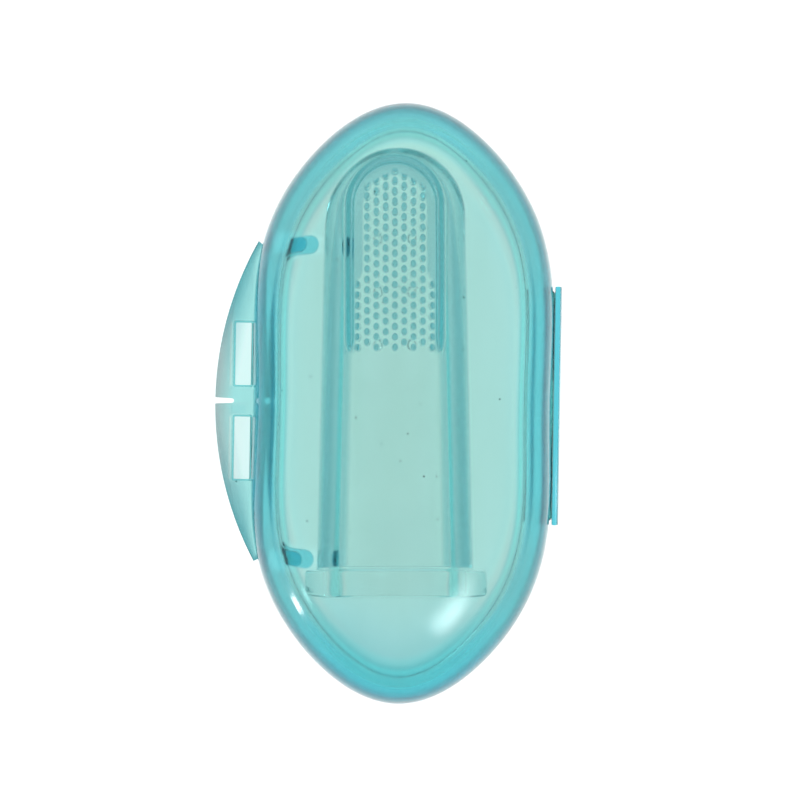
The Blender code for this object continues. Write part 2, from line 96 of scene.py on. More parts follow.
def join_by_boolean(obj, others, operation, solver="MANIFOLD"):
    for other in others:
        mod = obj.modifiers.new("b", "BOOLEAN")
        mod.operation = operation
        mod.solver = solver
        mod.object = other
    bpy.context.view_layer.update()
    dg = bpy.context.evaluated_depsgraph_get()
    mesh = bpy.data.meshes.new_from_object(obj.evaluated_get(dg))
    obj.modifiers.clear()
    old = obj.data
    obj.data = mesh
    bpy.data.meshes.remove(old)
    for other in others:
        data = other.data
        bpy.data.objects.remove(other, do_unlink=True)
        bpy.data.meshes.remove(data)


def smooth(value, low, high):
    share = min(max((value - low) / (high - low), 0.0), 1.0)
    return share * share * (3 - 2 * share)


def mix(a, b, share):
    return tuple(p + (q - p) * share for p, q in zip(a, b))


def paint(obj, look):
    """Give every point its own painted light-and-shade tint and its haze; look takes the point and its normal."""
    mesh = obj.data
    painted_shades, hazes = [], []
    for v in mesh.vertices:
        colour, rough = look(v.co.copy(), v.normal.copy())
        painted_shades.extend((*colour, 1.0))
        hazes.append(rough)
    mesh.attributes.new("painted_light_shade", "FLOAT_COLOR", "POINT")
    mesh.attributes["painted_light_shade"].data.foreach_set("color", painted_shades)
    mesh.attributes.new("skin_haze", "FLOAT", "POINT")
    mesh.attributes["skin_haze"].data.foreach_set("value", hazes)


def offset_outline(points, d):
    """A closed 2D outline moved inward by d (outline runs counter-clockwise)."""
    out = []
    n = len(points)
    for i in range(n):
        x0, y0 = points[i - 1]
        x1, y1 = points[i]
        x2, y2 = points[(i + 1) % n]
        e1 = Vector((x1 - x0, y1 - y0)).normalized()
        e2 = Vector((x2 - x1, y2 - y1)).normalized()
        n1, n2 = Vector((-e1.y, e1.x)), Vector((-e2.y, e2.x))
        b = n1 + n2
        b = b.normalized() if b.length > 1e-6 else n1
        k = d / max(b.dot(n1), 0.35)
        out.append((x1 + b.x * k, y1 + b.y * k))
    return out


def area2(points):
    return sum(points[i - 1][0] * points[i][1] - points[i][0] * points[i - 1][1]
               for i in range(len(points))) / 2


def plate(name, outline, z0, z1, soft=0.12 * MM, steps=3, flare=0.0):
    """A flat moulded plate from an outline, with rounded long edges. With flare the
    same outline is a cutter whose mouth widens at both faces."""
    if area2(outline) < 0:
        outline = outline[::-1]
    rings = []
    if flare:
        for z, d in ((z0, -flare), (z0 + flare, 0.0), (z1 - flare, 0.0), (z1, -flare)):
            rings.append([(CASE_X + x, y, z) for x, y in offset_outline(outline, d)])
    else:
        for k in range(steps + 1):
            a = pi / 2 * k / steps
            d, dz = soft * (1 - sin(a)), soft * (1 - cos(a))
            rings.append([(CASE_X + x, y, z0 + dz) for x, y in offset_outline(outline, d)])
        for ring in list(reversed(rings)):
            z = z0 + z1 - ring[0][2]
            rings.append([(x, y, z) for x, y, _ in ring])
    bm = bmesh.new()
    rows = [[bm.verts.new(p) for p in ring] for ring in rings]
    n = len(rows[0])
    for a, b in zip(rows, rows[1:]):
        for i in range(n):
            j = (i + 1) % n
            bm.faces.new((a[i], a[j], b[j], b[i])).smooth = not flare
    bm.faces.new(rows[0][::-1]).smooth = False
    bm.faces.new(rows[-1]).smooth = False
    bmesh.ops.recalc_face_normals(bm, faces=bm.faces)
    return new_object(name, bm)


def rounded_rect(x0, x1, y0, y1, r, steps=4):
    points = []
    for cx, cy, a0 in ((x1 - r, y0 + r, -90), (x1 - r, y1 - r, 0),
                       (x0 + r, y1 - r, 90), (x0 + r, y0 + r, 180)):
        for k in range(steps + 1):
            a = radians(a0 + 90 * k / steps)
            points.append((cx + r * cos(a), cy + r * sin(a)))
    return points


# ------------------------------------------------------------ the case
SEG = 320


def oval(half_w, half_l, a):
    c = cos(a)
    x = half_w * (c + O3 * (cos(3 * a) - c) + O5 * (cos(5 * a) - c) + O7 * (cos(7 * a) - c))
    return x, half_l * sin(a)


def profile(t):
    c, s = max(cos(t), 0.0), sin(t)
    size = (abs(c) ** FULLNESS + abs(s) ** FULLNESS) ** (1 / FULLNESS)
    return 1 - c / size, s / size


def shell_point(side, a, t):
    """Outer skin of a shell: a round the oval, t from 0 at the rim to pi/2 at the flat."""
    inward, upward = profile(t)
    x, y = oval(HALF_W - SHOULDER_X * inward, HALF_L - SHOULDER_Y * inward, a)
    rim = BASE_RIM if side < 0 else LID_RIM
    return Vector((CASE_X + x, y, rim + side * HIGH * upward))


def shell_normal(side, a, t):
    d = 1e-3
    t = min(max(t, 0.0), pi / 2 - 0.012)
    du = shell_point(side, a + d, t) - shell_point(side, a - d, t)
    dv = shell_point(side, a, t + d) - shell_point(side, a, max(t - d, 0.0))
    n = du.cross(dv)
    return (n if side > 0 else -n).normalized()


def shell(name, side):
    steps = 56
    outer, inner = [], []
    for k in range(steps + 1):
        t = pi / 2 * k / steps
        ring_o, ring_i = [], []
        for i in range(SEG):
            a = 2 * pi * i / SEG
            top_end = smooth(sin(a), 0.75, 0.97)
            share = smooth(profile(t)[1], 0.68, 0.95 - 0.05 * top_end)
            wall = SIDE_WALL_THICK + (WALL - SIDE_WALL_THICK) * share
            p, n = shell_point(side, a, t), shell_normal(side, a, t)
            if k == 0:
                n = Vector((n.x, n.y, 0.0)).normalized()
            if k == steps:
                n = Vector((0.0, 0.0, float(side)))
            ring_o.append(p)
            ring_i.append(p - n * wall)
        outer.append(ring_o)
        inner.append(ring_i)
    rim = outer[0][0].z
    # the moulded rim: its two edges are rounded off
    r = 0.16 * MM
    lip = []
    for k in range(9):
        b = pi * k / 8
        ring = []
        for i in range(SEG):
            po, pi_ = outer[0][i], inner[0][i]
            across = pi_ - po
            w = across.length
            across = across / w
            if b <= pi / 2:
                off, dz = r * (1 - cos(b)), r * (1 - sin(b))
            else:
                off, dz = w - r * (1 + cos(b)), r * (1 - sin(b))
            q = po + across * off
            ring.append(Vector((q.x, q.y, rim + side * dz)))
        lip.append(ring)

    def flat(last, z):
        mid = Vector((CASE_X, 0.0, z))
        return [[mid + (p - mid) * s for p in last] for s in (0.985, 0.95, 0.86, 0.7, 0.5, 0.3, 0.12)]

    rows = list(reversed(outer[1:])) + lip + inner[1:]
    top_z, under_z = outer[-1][0].z, inner[-1][0].z
    rows = list(reversed(flat(outer[-1], top_z))) + rows + flat(inner[-1], under_z)
    return new_object(name, skin(rows, start=(CASE_X, 0, top_z), end=(CASE_X, 0, under_z)))


def crescent_outline():
    reach, arc, span = 24.9 * MM, 44.4 * MM, 21.3 * MM
    cx = -reach + arc
    outside = []
    steps = 72
    for i in range(steps + 1):
        y = span * (1 - 2 * i / steps)
        outside.append((cx - sqrt(arc ** 2 - y * y), y))
    middle = []
    for i in range(600):
        a = 2 * pi * i / 600
        x, y = oval(HALF_W - 0.6 * MM, HALF_L - 0.6 * MM, a)
        if x < 0 and abs(y) < span - 0.4 * MM:
            middle.append((x, y))
    middle.sort(key=lambda p: p[1])
    return outside + middle[::3]


def lug(name, sign, tip, half, z0, z1):
    y0 = sign * 21.0 * MM
    root = ((-17.8, 1.0), (-17.3, 0.85), (-16.9, 0.5), (-16.5, 0.25), (-15.9, 0.1), (-15.2, 0.03))
    outline = [(x * MM, y0 - half - d * MM * 0.6) for x, d in root]
    for i in range(21):
        a = -pi / 2 + pi * i / 20
        outline.append((tip - half + half * cos(a), y0 + half * sin(a)))
    outline += [(x * MM, y0 + half + d * MM * 0.6) for x, d in reversed(root)]
    return plate(name, outline, z0, z1, soft=0.2 * MM, steps=5)


def leaf(name, z0, z1):
    return plate(name, rounded_rect(18.6 * MM, 20.05 * MM, -15.3 * MM, 15.3 * MM, 0.5 * MM, 6),
                 z0, z1, soft=0.14 * MM)


def notch(name, z0, z1):
    x1 = -25.6 * MM
    outline = [(x1, -0.44 * MM), (-22.75 * MM, -0.30 * MM), (-22.52 * MM, -0.24 * MM),
               (-22.42 * MM, -0.12 * MM), (-22.40 * MM, 0.0), (-22.42 * MM, 0.12 * MM),
               (-22.52 * MM, 0.24 * MM), (-22.75 * MM, 0.30 * MM), (x1, 0.44 * MM)]
    return plate(name, outline, z0, z1, flare=0.06 * MM)


BASE_TAB, LID_TAB = 1.2 * MM, 1.8 * MM
FRAME_UP = 0.16 * MM               # the moulded frame round each window stands proud
FOLD_UP = 3.7 * MM                 # fold lines above and below the parting plane

base = shell("case_base", -1)
top = BASE_RIM - FLUSH
adds = [plate("t1", crescent_outline(), top - BASE_TAB, top),
        leaf("t2", PARTING - FOLD_UP - 0.5 * MM, PARTING - FOLD_UP + 0.5 * MM),
        lug("t3", 1, -11.5 * MM, 1.3 * MM, BASE_RIM - 3.45 * MM, BASE_RIM - 0.15 * MM),
        lug("t4", -1, -11.5 * MM, 1.3 * MM, BASE_RIM - 3.45 * MM, BASE_RIM - 0.15 * MM)]
join_by_boolean(base, adds, "UNION")
join_by_boolean(base, [notch("n1", top - BASE_TAB - 0.06 * MM, top + 0.06 * MM)], "DIFFERENCE")

lid = shell("case_lid", 1)
low = LID_RIM + FLUSH
adds = [plate("t5", crescent_outline(), low, low + LID_TAB),
        leaf("t6", PARTING + FOLD_UP - 0.5 * MM, PARTING + FOLD_UP + 0.5 * MM),
        lug("t7", 1, -13.2 * MM, 1.05 * MM, LID_RIM + 0.15 * MM, LID_RIM + 3.75 * MM),
        lug("t8", -1, -13.2 * MM, 1.05 * MM, LID_RIM + 0.15 * MM, LID_RIM + 3.75 * MM),
        plate("t9", rounded_rect(-22.7 * MM, -20.9 * MM, -1.65 * MM, -0.55 * MM, 0.15 * MM),
              low + 0.35 * MM, low + LID_TAB + 0.35 * MM, soft=0.1 * MM)]
for s in (1, -1):
    y0, y1 = sorted((s * 2.1 * MM, s * 10.4 * MM))
    adds.append(plate("f", rounded_rect(-22.56 * MM, -19.93 * MM, y0 - 0.26 * MM, y1 + 0.26 * MM, 0.25 * MM, 5),
                      low + LID_TAB - 0.2 * MM, low + LID_TAB + FRAME_UP, soft=0.1 * MM))
join_by_boolean(lid, adds, "UNION")
cuts = [notch("n2", low - 0.06 * MM, low + LID_TAB + 0.06 * MM)]
for s in (1, -1):
    y0, y1 = sorted((s * 2.1 * MM, s * 10.4 * MM))
    cuts.append(plate("w", rounded_rect(-22.3 * MM, -20.2 * MM, y0, y1, 0.12 * MM, 3),
                      low - 0.06 * MM, low + LID_TAB + FRAME_UP + 0.1 * MM, flare=0.08 * MM))
    cuts.append(plate("g", rounded_rect(-23.05 * MM, -22.65 * MM, y0 - 0.1 * MM, y1 + 0.1 * MM, 0.18 * MM, 5),
                      low + LID_TAB - 0.9 * MM, low + LID_TAB + 0.3 * MM, soft=0.15 * MM))
join_by_boolean(lid, cuts, "DIFFERENCE")


# ------------------------------------------------------------ the living hinge
def extrusion(name, profile, half_long, soft):
    """A profile in X and Z, drawn along Y with its end edges pulled in a little."""
    rings = []
    for y, d in ((-half_long, soft), (-half_long + 0.4 * soft, 0.35 * soft), (-half_long + soft, 0.0),
                 (0.0, 0.0), (half_long - soft, 0.0), (half_long - 0.4 * soft, 0.35 * soft), (half_long, soft)):
        pts = profile if area2(profile) > 0 else profile[::-1]
        rings.append([(CASE_X + x, y, z) for x, z in (offset_outline(pts, d) if d else pts)])
    bm = bmesh.new()
    rows = [[bm.verts.new(p) for p in ring] for ring in rings]
    n = len(rows[0])
    for a, b in zip(rows, rows[1:]):
        for i in range(n):
            j = (i + 1) % n
            bm.faces.new((a[i], a[j], b[j], b[i])).smooth = True
    bm.faces.new(rows[0]).smooth = False
    bm.faces.new(rows[-1]).smooth = False
    bmesh.ops.recalc_face_normals(bm, faces=bm.faces)
    return new_object(name, bm)


# the band is tall and thin, with its outer face drafted from the middle to both folds
half_band = [(21.03, 0.0), (21.03, 1.4), (21.0, 2.2), (20.80, 3.46), (20.77, 3.52), (20.71, 3.55),
             (20.19, 3.55), (20.16, 3.54), (20.15, 3.51)]
band = [(x * MM, PARTING + z * MM) for x, z in half_band]
band += [(x * MM, PARTING - z * MM) for x, z in reversed(half_band[1:])]
strip = extrusion("hinge_band", band, 15.87 * MM, 0.12 * MM)


def film(name, side):
    """The thin moulded web from a shell's ledge to the band."""
    z = PARTING + side * 3.42 * MM
    t = 0.09 * MM
    upper, lower = [], []
    for k in range(5):
        share = k / 4
        x = 20.056 * MM + share * 0.088 * MM
        thin = t * (1 - 0.25 * sin(pi * share))
        upper.append((x, z + thin))
        lower.append((x, z - thin))
    return extrusion(name, upper + lower[::-1], 15.1 * MM, 0.03 * MM)


film_low, film_high = film("hinge_film_lower", -1), film("hinge_film_upper", 1)

# ------------------------------------------------------------ the brush
BRUSH_LONG = 60.4 * MM
CUFF = 3.55 * MM
CUFF_W = (12.62 * MM, 12.28 * MM)
CUFF_H = 11.3 * MM
SLEEVE_W, SLEEVE_H = (10.42 * MM, 9.37 * MM), (9.35 * MM, 8.5 * MM)
DOME_FROM = BRUSH_LONG - 9.3 * MM
PAD_FROM, BACK_FROM = 34.0 * MM, 47.0 * MM
SIDE_WALL, TOP_WALL, TIP_WALL = 2.4 * MM, 1.6 * MM, 1.6 * MM
FLATNESS = 2.5
PLACE = (Matrix.Translation((CASE_X - 0.556 * MM, -25.96 * MM, 12.8 * MM))
         @ Matrix.Rotation(radians(0.95), 4, "Z") @ Matrix.Rotation(radians(-2.1), 4, "X"))


def run(y, ends):
    t = min(max((y - CUFF) / (DOME_FROM - CUFF), 0.0), 1.0)
    return ends[0] + (ends[1] - ends[0]) * t


def fall(y, start, end, power):
    if y <= start:
        return 1.0
    u = min((y - start) / (end - start), 1.0)
    return sqrt(max(1.0 - u ** power, 0.0))


def half_width(y):
    return run(y, SLEEVE_W) * fall(y, DOME_FROM, BRUSH_LONG, 2.0)


def half_top(y):
    return run(y, SLEEVE_H) * fall(y, PAD_FROM, BRUSH_LONG, 2.4)


def half_back(y):
    return run(y, SLEEVE_H) * fall(y, BACK_FROM, BRUSH_LONG, 2.2)


def bore(y):
    end = BRUSH_LONG - TIP_WALL
    return ((run(y, SLEEVE_W) - SIDE_WALL) * fall(y, DOME_FROM, end, 2.0),
            (run(y, SLEEVE_H) - TOP_WALL) * fall(y, PAD_FROM, end, 2.4),
            (run(y, SLEEVE_H) - TOP_WALL) * fall(y, BACK_FROM, end, 2.2))


def section(y, w, up, back, n=176):
    ring = []
    for i in range(n):
        a = 2 * pi * i / n
        c, s = cos(a), sin(a)
        if s >= 0:
            e = 2 / FLATNESS
            ring.append((w * (abs(c) ** e) * (1 if c >= 0 else -1), y, up * abs(s) ** e))
        else:
            ring.append((w * c, y, back * s))
    return ring


def pad_surface(x, y):
    def z_at(px, py):
        r = min(abs(px) / max(half_width(py), 1e-6), 0.9999)
        return half_top(py) * (1 - r ** FLATNESS) ** (1 / FLATNESS)
    d = 0.02 * MM
    dzdx = (z_at(x + d, y) - z_at(x - d, y)) / (2 * d)
    dzdy = (z_at(x, y + d) - z_at(x, y - d)) / (2 * d)
    return Vector((x, y, z_at(x, y))), Vector((-dzdx, -dzdy, 1.0)).normalized()


def to_tip(start, end, n):
    """Steps along Y that close up towards a round tip."""
    return [start + (end - start) * sin(pi / 2 * k / n) for k in range(1, n)]


rings = []
r = 0.45 * MM
for k in range(7):                                  # round at the open end's rim
    b = pi / 2 * k / 6
    rings.append(section(r * (1 - sin(b)), CUFF_W[0] - r * (1 - cos(b)), CUFF_H - r * (1 - cos(b)),
                         CUFF_H - r * (1 - cos(b))))
rings = rings[::-1]
for k in range(1, 4):
    y = r + (CUFF - 2 * r) * k / 4
    w = CUFF_W[0] + (CUFF_W[1] - CUFF_W[0]) * y / CUFF
    h = CUFF_H - 0.3 * MM * y / CUFF
    rings.append(section(y, w, h, h))
for k in range(7):                                  # round at the cuff's inner edge
    b = pi / 2 * k / 6
    rings.append(section(CUFF - r * (1 - sin(b)), CUFF_W[1] - r * (1 - cos(b)),
                         CUFF_H - 0.3 * MM - r * (1 - cos(b)), CUFF_H - 0.3 * MM - r * (1 - cos(b))))
f = 0.5 * MM
for k in range(7):                                  # fillet down to the sleeve
    b = pi / 2 * k / 6
    rings.append(section(CUFF + 0.04 * MM + f * (1 - cos(b)), SLEEVE_W[0] + f * (1 - sin(b)),
                         SLEEVE_H[0] + f * (1 - sin(b)), SLEEVE_H[0] + f * (1 - sin(b))))
y = CUFF + 0.04 * MM + f
while y < DOME_FROM - 0.8 * MM:
    y += 0.8 * MM
    rings.append(section(y, half_width(y), half_top(y), half_back(y)))
for y in to_tip(DOME_FROM, BRUSH_LONG, 26):
    rings.append(section(y, half_width(y), half_top(y), half_back(y)))
inside = []
r = 0.4 * MM
w0, t0, b0 = bore(0.0)
for k in range(6):                                  # the bore's mouth flares
    b = pi / 2 * k / 5
    d = r * (1 - sin(b))
    inside.append(section(r * (1 - cos(b)), w0 + d, t0 + d, b0 + d))
y = r
while y < DOME_FROM - 1.0 * MM:
    y += 1.0 * MM
    w, t, b = bore(y)
    inside.append(section(y, w, t, b))
for y in to_tip(DOME_FROM, BRUSH_LONG - TIP_WALL, 24):
    w, t, b = bore(y)
    inside.append(section(y, w, t, b))
brush = new_object("silicone_brush", skin(rings[::-1] + inside, start=(0, BRUSH_LONG, 0),
                                          end=(0, BRUSH_LONG - TIP_WALL, 0)))


def lathe(profile, n, place):
    """A turned form from (radius, height) pairs, its first and last on the axis."""
    rings_ = [[place @ Vector((q * cos(2 * pi * i / n), q * sin(2 * pi * i / n), z)) for i in range(n)]
              for q, z in profile[1:-1]]
    return skin(rings_, start=place @ Vector((0, 0, profile[0][1])), end=place @ Vector((0, 0, profile[-1][1])))


def merge(bms, name):
    whole = bmesh.new()
    for bm in bms:
        mesh = bpy.data.meshes.new("m")
        bm.to_mesh(mesh)
        bm.free()
        whole.from_mesh(mesh)
        bpy.data.meshes.remove(mesh)
    return new_object(name, whole)


def bristle(x, y, rng):
    root, normal = pad_surface(x, y)
    lean = Vector((normal.x * 0.15 + rng.uniform(-0.015, 0.015), normal.y * 0.2 + rng.uniform(-0.015, 0.015), normal.z)).normalized()
    side = Vector((1, 0, 0))
    side = (side - lean * side.dot(lean)).normalized()
    up = lean.cross(side)
    place = Matrix((side, up * 1.26, lean)).transposed().to_4x4()
    place.translation = root
    high = 2.3 * MM * rng.uniform(0.985, 1.0)
    r0, r1 = 0.40 * MM, 0.35 * MM
    profile = [(0, -0.45 * MM), (0.52 * MM, -0.45 * MM), (0.50 * MM, -0.12 * MM), (0.45 * MM, 0.03 * MM), (0.42 * MM, 0.18 * MM),
               (r0, 0.42 * MM), ((r0 + r1) / 2, high * 0.6)]
    for k in range(6):
        b = pi / 2 * k / 5.5
        profile.append((r1 * cos(b), high - r1 * 0.8 + r1 * 0.8 * sin(b)))
    profile.append((0, high))
    return lathe(profile, 18, place)


def bristle_field():
    rng = random.Random(7)
    made = []
    px, py = 1.22 * MM, 1.387 * MM
    for c in range(-4, 5):
        x = c * px
        row = 0
        while True:
            y = 33.05 * MM + (row + (0.5 if c % 2 else 0.0)) * py
            if y > 52.0 * MM + sqrt(max((4.75 * MM) ** 2 - x * x, 0.0)) or (abs(c) == 4 and y > 41.6 * MM):
                break
            made.append(bristle(x, y, rng))
            row += 1
    return made


def ridge():
    """The guard ridge: a rounded rib swept round the bristle field."""
    path = []
    y, rx, centre = 32.7 * MM, 6.15 * MM, 52.0 * MM
    while y < centre - 0.2 * MM:
        path.append((-rx, y))
        y += 0.6 * MM
    for i in range(41):
        a = pi - pi * i / 40
        path.append((rx * cos(a), centre + rx * 1.05 * sin(a)))
    path += [(-x, y) for x, y in reversed(path[:len(path) - 41])]
    frames = [pad_surface(x, y) for x, y in path]
    rows = []
    n = len(path)
    for i, (p, normal) in enumerate(frames):
        before, after = frames[max(i - 1, 0)][0], frames[min(i + 1, n - 1)][0]
        along = (after - before).normalized()
        normal = (normal - along * normal.dot(along)).normalized()
        across = along.cross(normal)
        ends = min(i, n - 1 - i) * 0.6 * MM
        full = min(1.0, 0.25 + 0.75 * sqrt(min(ends / (1.6 * MM), 1.0)))
        half, high = 0.62 * MM * full, 0.72 * MM * full
        ring = [p + across * (half + 0.25 * MM) - normal * 0.35 * MM,
                p + across * (half + 0.16 * MM) - normal * 0.02 * MM,
                p + across * (half + 0.03 * MM) + normal * 0.16 * MM * full]
        top_z = high - half * 0.9
        for k in range(13):
            b = pi * k / 12
            ring.append(p + across * (half * 0.92 * cos(b)) + normal * (max(top_z, 0.1 * MM) + half * 0.9 * sin(b)))
        ring += [p - across * (half + 0.03 * MM) + normal * 0.16 * MM * full,
                 p - across * (half + 0.16 * MM) - normal * 0.02 * MM,
                 p - across * (half + 0.25 * MM) - normal * 0.35 * MM]
        rows.append(ring)
    start = sum(rows[0], Vector()) / len(rows[0]) - Vector((0, 0.15 * MM, 0))
    end = sum(rows[-1], Vector()) / len(rows[-1]) - Vector((0, 0.15 * MM, 0))
    return skin(rows, start=start, end=end)


def nubs():
    made = []
    for y in (34.2 * MM, 41.3 * MM, 48.4 * MM):
        for x in (-2.5 * MM, 2.5 * MM):
            w, h = half_width(y), half_back(y)
            z = -h * sqrt(1 - (x / w) ** 2)
            normal = Vector((x / (w * w), 0.0, z / (h * h))).normalized()
            place = Vector((0, 0, 1)).rotation_difference(normal).to_matrix().to_4x4()
            place.translation = Vector((x, y, z))
            q = 0.66 * MM
            profile = [(0, -0.4 * MM), (0.9 * MM, -0.4 * MM), (0.86 * MM, -0.08 * MM), (0.74 * MM, 0.08 * MM), (q, 0.3 * MM)]
            for k in range(8):
                b = pi / 2 * k / 8
                profile.append((q * cos(b), 0.45 * MM + 0.65 * MM * sin(b)))
            profile.append((0, 1.1 * MM))
            made.append(lathe(profile, 32, place))
    return made


join_by_boolean(brush, [merge([ridge()], "ridge")], "UNION")
join_by_boolean(brush, [merge(nubs(), "nubs")], "UNION")
join_by_boolean(brush, [merge(bristle_field(), "bristles")], "UNION")


# ------------------------------------------------------------ materials
def tree(name):
    mat = bpy.data.materials.new(name)
    mat.use_nodes = True
    nodes, links = mat.node_tree.nodes, mat.node_tree.links
    shader = nodes["Principled BSDF"]
    out = nodes["Material Output"]
    return mat, nodes, links, shader, out


def plastic(name, tint, density, seed, rough=0.045, specks=0.0):
    """Clear tinted polypropylene: the tint sits in the volume, the skin has faint
    flow marks, fine scratches, a few dust specks and painted light and shade."""
    mat, nodes, links, shader, out = tree(name)
    shader.inputs["Transmission Weight"].default_value = 1.0
    shader.inputs["IOR"].default_value = 1.36
    coord = nodes.new("ShaderNodeTexCoord")
    shift = nodes.new("ShaderNodeMapping")
    shift.inputs["Location"].default_value = (seed * 0.37, seed * 0.11, seed * 0.23)
    links.new(coord.outputs["Object"], shift.inputs["Vector"])
    # flow marks, long and soft
    flow_map = nodes.new("ShaderNodeMapping")
    flow_map.inputs["Scale"].default_value = (260.0, 45.0, 260.0)
    links.new(shift.outputs["Vector"], flow_map.inputs["Vector"])
    flow = nodes.new("ShaderNodeTexNoise")
    flow.inputs["Scale"].default_value = 1.0
    flow.inputs["Detail"].default_value = 3.0
    flow.inputs["Roughness"].default_value = 0.45
    links.new(flow_map.outputs["Vector"], flow.inputs["Vector"])
    # fine handling scratches
    scratch_map = nodes.new("ShaderNodeMapping")
    scratch_map.inputs["Scale"].default_value = (5200.0, 420.0, 3000.0)
    scratch_map.inputs["Rotation"].default_value = (0.0, 0.0, 0.5)
    links.new(shift.outputs["Vector"], scratch_map.inputs["Vector"])
    scratch = nodes.new("ShaderNodeTexNoise")
    scratch.inputs["Scale"].default_value = 1.0
    scratch.inputs["Detail"].default_value = 2.0
    links.new(scratch_map.outputs["Vector"], scratch.inputs["Vector"])
    # roughness: faint haze patches
    haze = nodes.new("ShaderNodeTexNoise")
    haze.inputs["Scale"].default_value = 180.0
    haze.inputs["Detail"].default_value = 5.0
    links.new(shift.outputs["Vector"], haze.inputs["Vector"])
    rough_map = nodes.new("ShaderNodeMapRange")
    rough_map.inputs["From Min"].default_value = 0.35
    rough_map.inputs["From Max"].default_value = 0.7
    rough_map.inputs["To Min"].default_value = rough
    rough_map.inputs["To Max"].default_value = rough + 0.07
    links.new(haze.outputs["Fac"], rough_map.inputs["Value"])
    hazy = nodes.new("ShaderNodeAttribute")
    hazy.attribute_name = "skin_haze"
    total = nodes.new("ShaderNodeMath")
    total.operation = "ADD"
    links.new(rough_map.outputs["Result"], total.inputs[0])
    links.new(hazy.outputs["Fac"], total.inputs[1])
    links.new(total.outputs["Value"], shader.inputs["Roughness"])
    # specks of dust in the moulding
    speck = nodes.new("ShaderNodeTexVoronoi")
    speck.inputs["Scale"].default_value = 420.0
    speck.inputs["Randomness"].default_value = 1.0
    links.new(shift.outputs["Vector"], speck.inputs["Vector"])
    near = nodes.new("ShaderNodeMapRange")
    near.inputs["From Min"].default_value = 0.045
    near.inputs["From Max"].default_value = 0.075
    near.inputs["To Min"].default_value = 1.0
    near.inputs["To Max"].default_value = 0.0
    links.new(speck.outputs["Distance"], near.inputs["Value"])
    pick = nodes.new("ShaderNodeSeparateColor")
    links.new(speck.outputs["Color"], pick.inputs["Color"])
    few = nodes.new("ShaderNodeMath")
    few.operation = "GREATER_THAN"
    few.inputs[1].default_value = 0.9
    links.new(pick.outputs["Red"], few.inputs[0])
    both = nodes.new("ShaderNodeMath")
    both.operation = "MULTIPLY"
    links.new(near.outputs["Result"], both.inputs[0])
    links.new(few.outputs["Value"], both.inputs[1])
    # base colour: nearly clear, a touch cloudy along the flow, times the painted light and shade, dark at a speck
    tone = nodes.new("ShaderNodeValToRGB")
    tone.color_ramp.elements[0].position = 0.3
    tone.color_ramp.elements[1].position = 0.75
    tone.color_ramp.elements[0].color = (0.93, 0.955, 0.90, 1)
    tone.color_ramp.elements[1].color = (0.96, 0.975, 0.93, 1)
    links.new(flow.outputs["Fac"], tone.inputs["Fac"])
    tone_and_shade = nodes.new("ShaderNodeMix")
    tone_and_shade.data_type = "RGBA"
    tone_and_shade.blend_type = "MULTIPLY"
    tone_and_shade.inputs["Factor"].default_value = 1.0
    painted_shade_of = nodes.new("ShaderNodeAttribute")
    painted_shade_of.attribute_name = "painted_light_shade"
    links.new(tone.outputs["Color"], tone_and_shade.inputs["A"])
    links.new(painted_shade_of.outputs["Color"], tone_and_shade.inputs["B"])
    spot = nodes.new("ShaderNodeMix")
    spot.data_type = "RGBA"
    spot.inputs["B"].default_value = (0.10, 0.20, 0.19, 1)
    links.new(tone_and_shade.outputs["Result"], spot.inputs["A"])
    links.new(both.outputs["Value"], spot.inputs["Factor"])
    links.new(spot.outputs["Result"], shader.inputs["Base Color"])
    # bump
    bump1 = nodes.new("ShaderNodeBump")
    bump1.inputs["Strength"].default_value = 0.35
    bump1.inputs["Distance"].default_value = 0.00004
    links.new(flow.outputs["Fac"], bump1.inputs["Height"])
    bump2 = nodes.new("ShaderNodeBump")
    bump2.inputs["Strength"].default_value = 0.04
    bump2.inputs["Distance"].default_value = 0.000004
    links.new(scratch.outputs["Fac"], bump2.inputs["Height"])
    links.new(bump1.outputs["Normal"], bump2.inputs["Normal"])
    links.new(bump2.outputs["Normal"], shader.inputs["Normal"])
    volume = nodes.new("ShaderNodeVolumeAbsorption")
    volume.inputs["Color"].default_value = (*tint, 1.0)
    volume.inputs["Density"].default_value = density
    links.new(volume.outputs["Volume"], out.inputs["Volume"])
    return mat


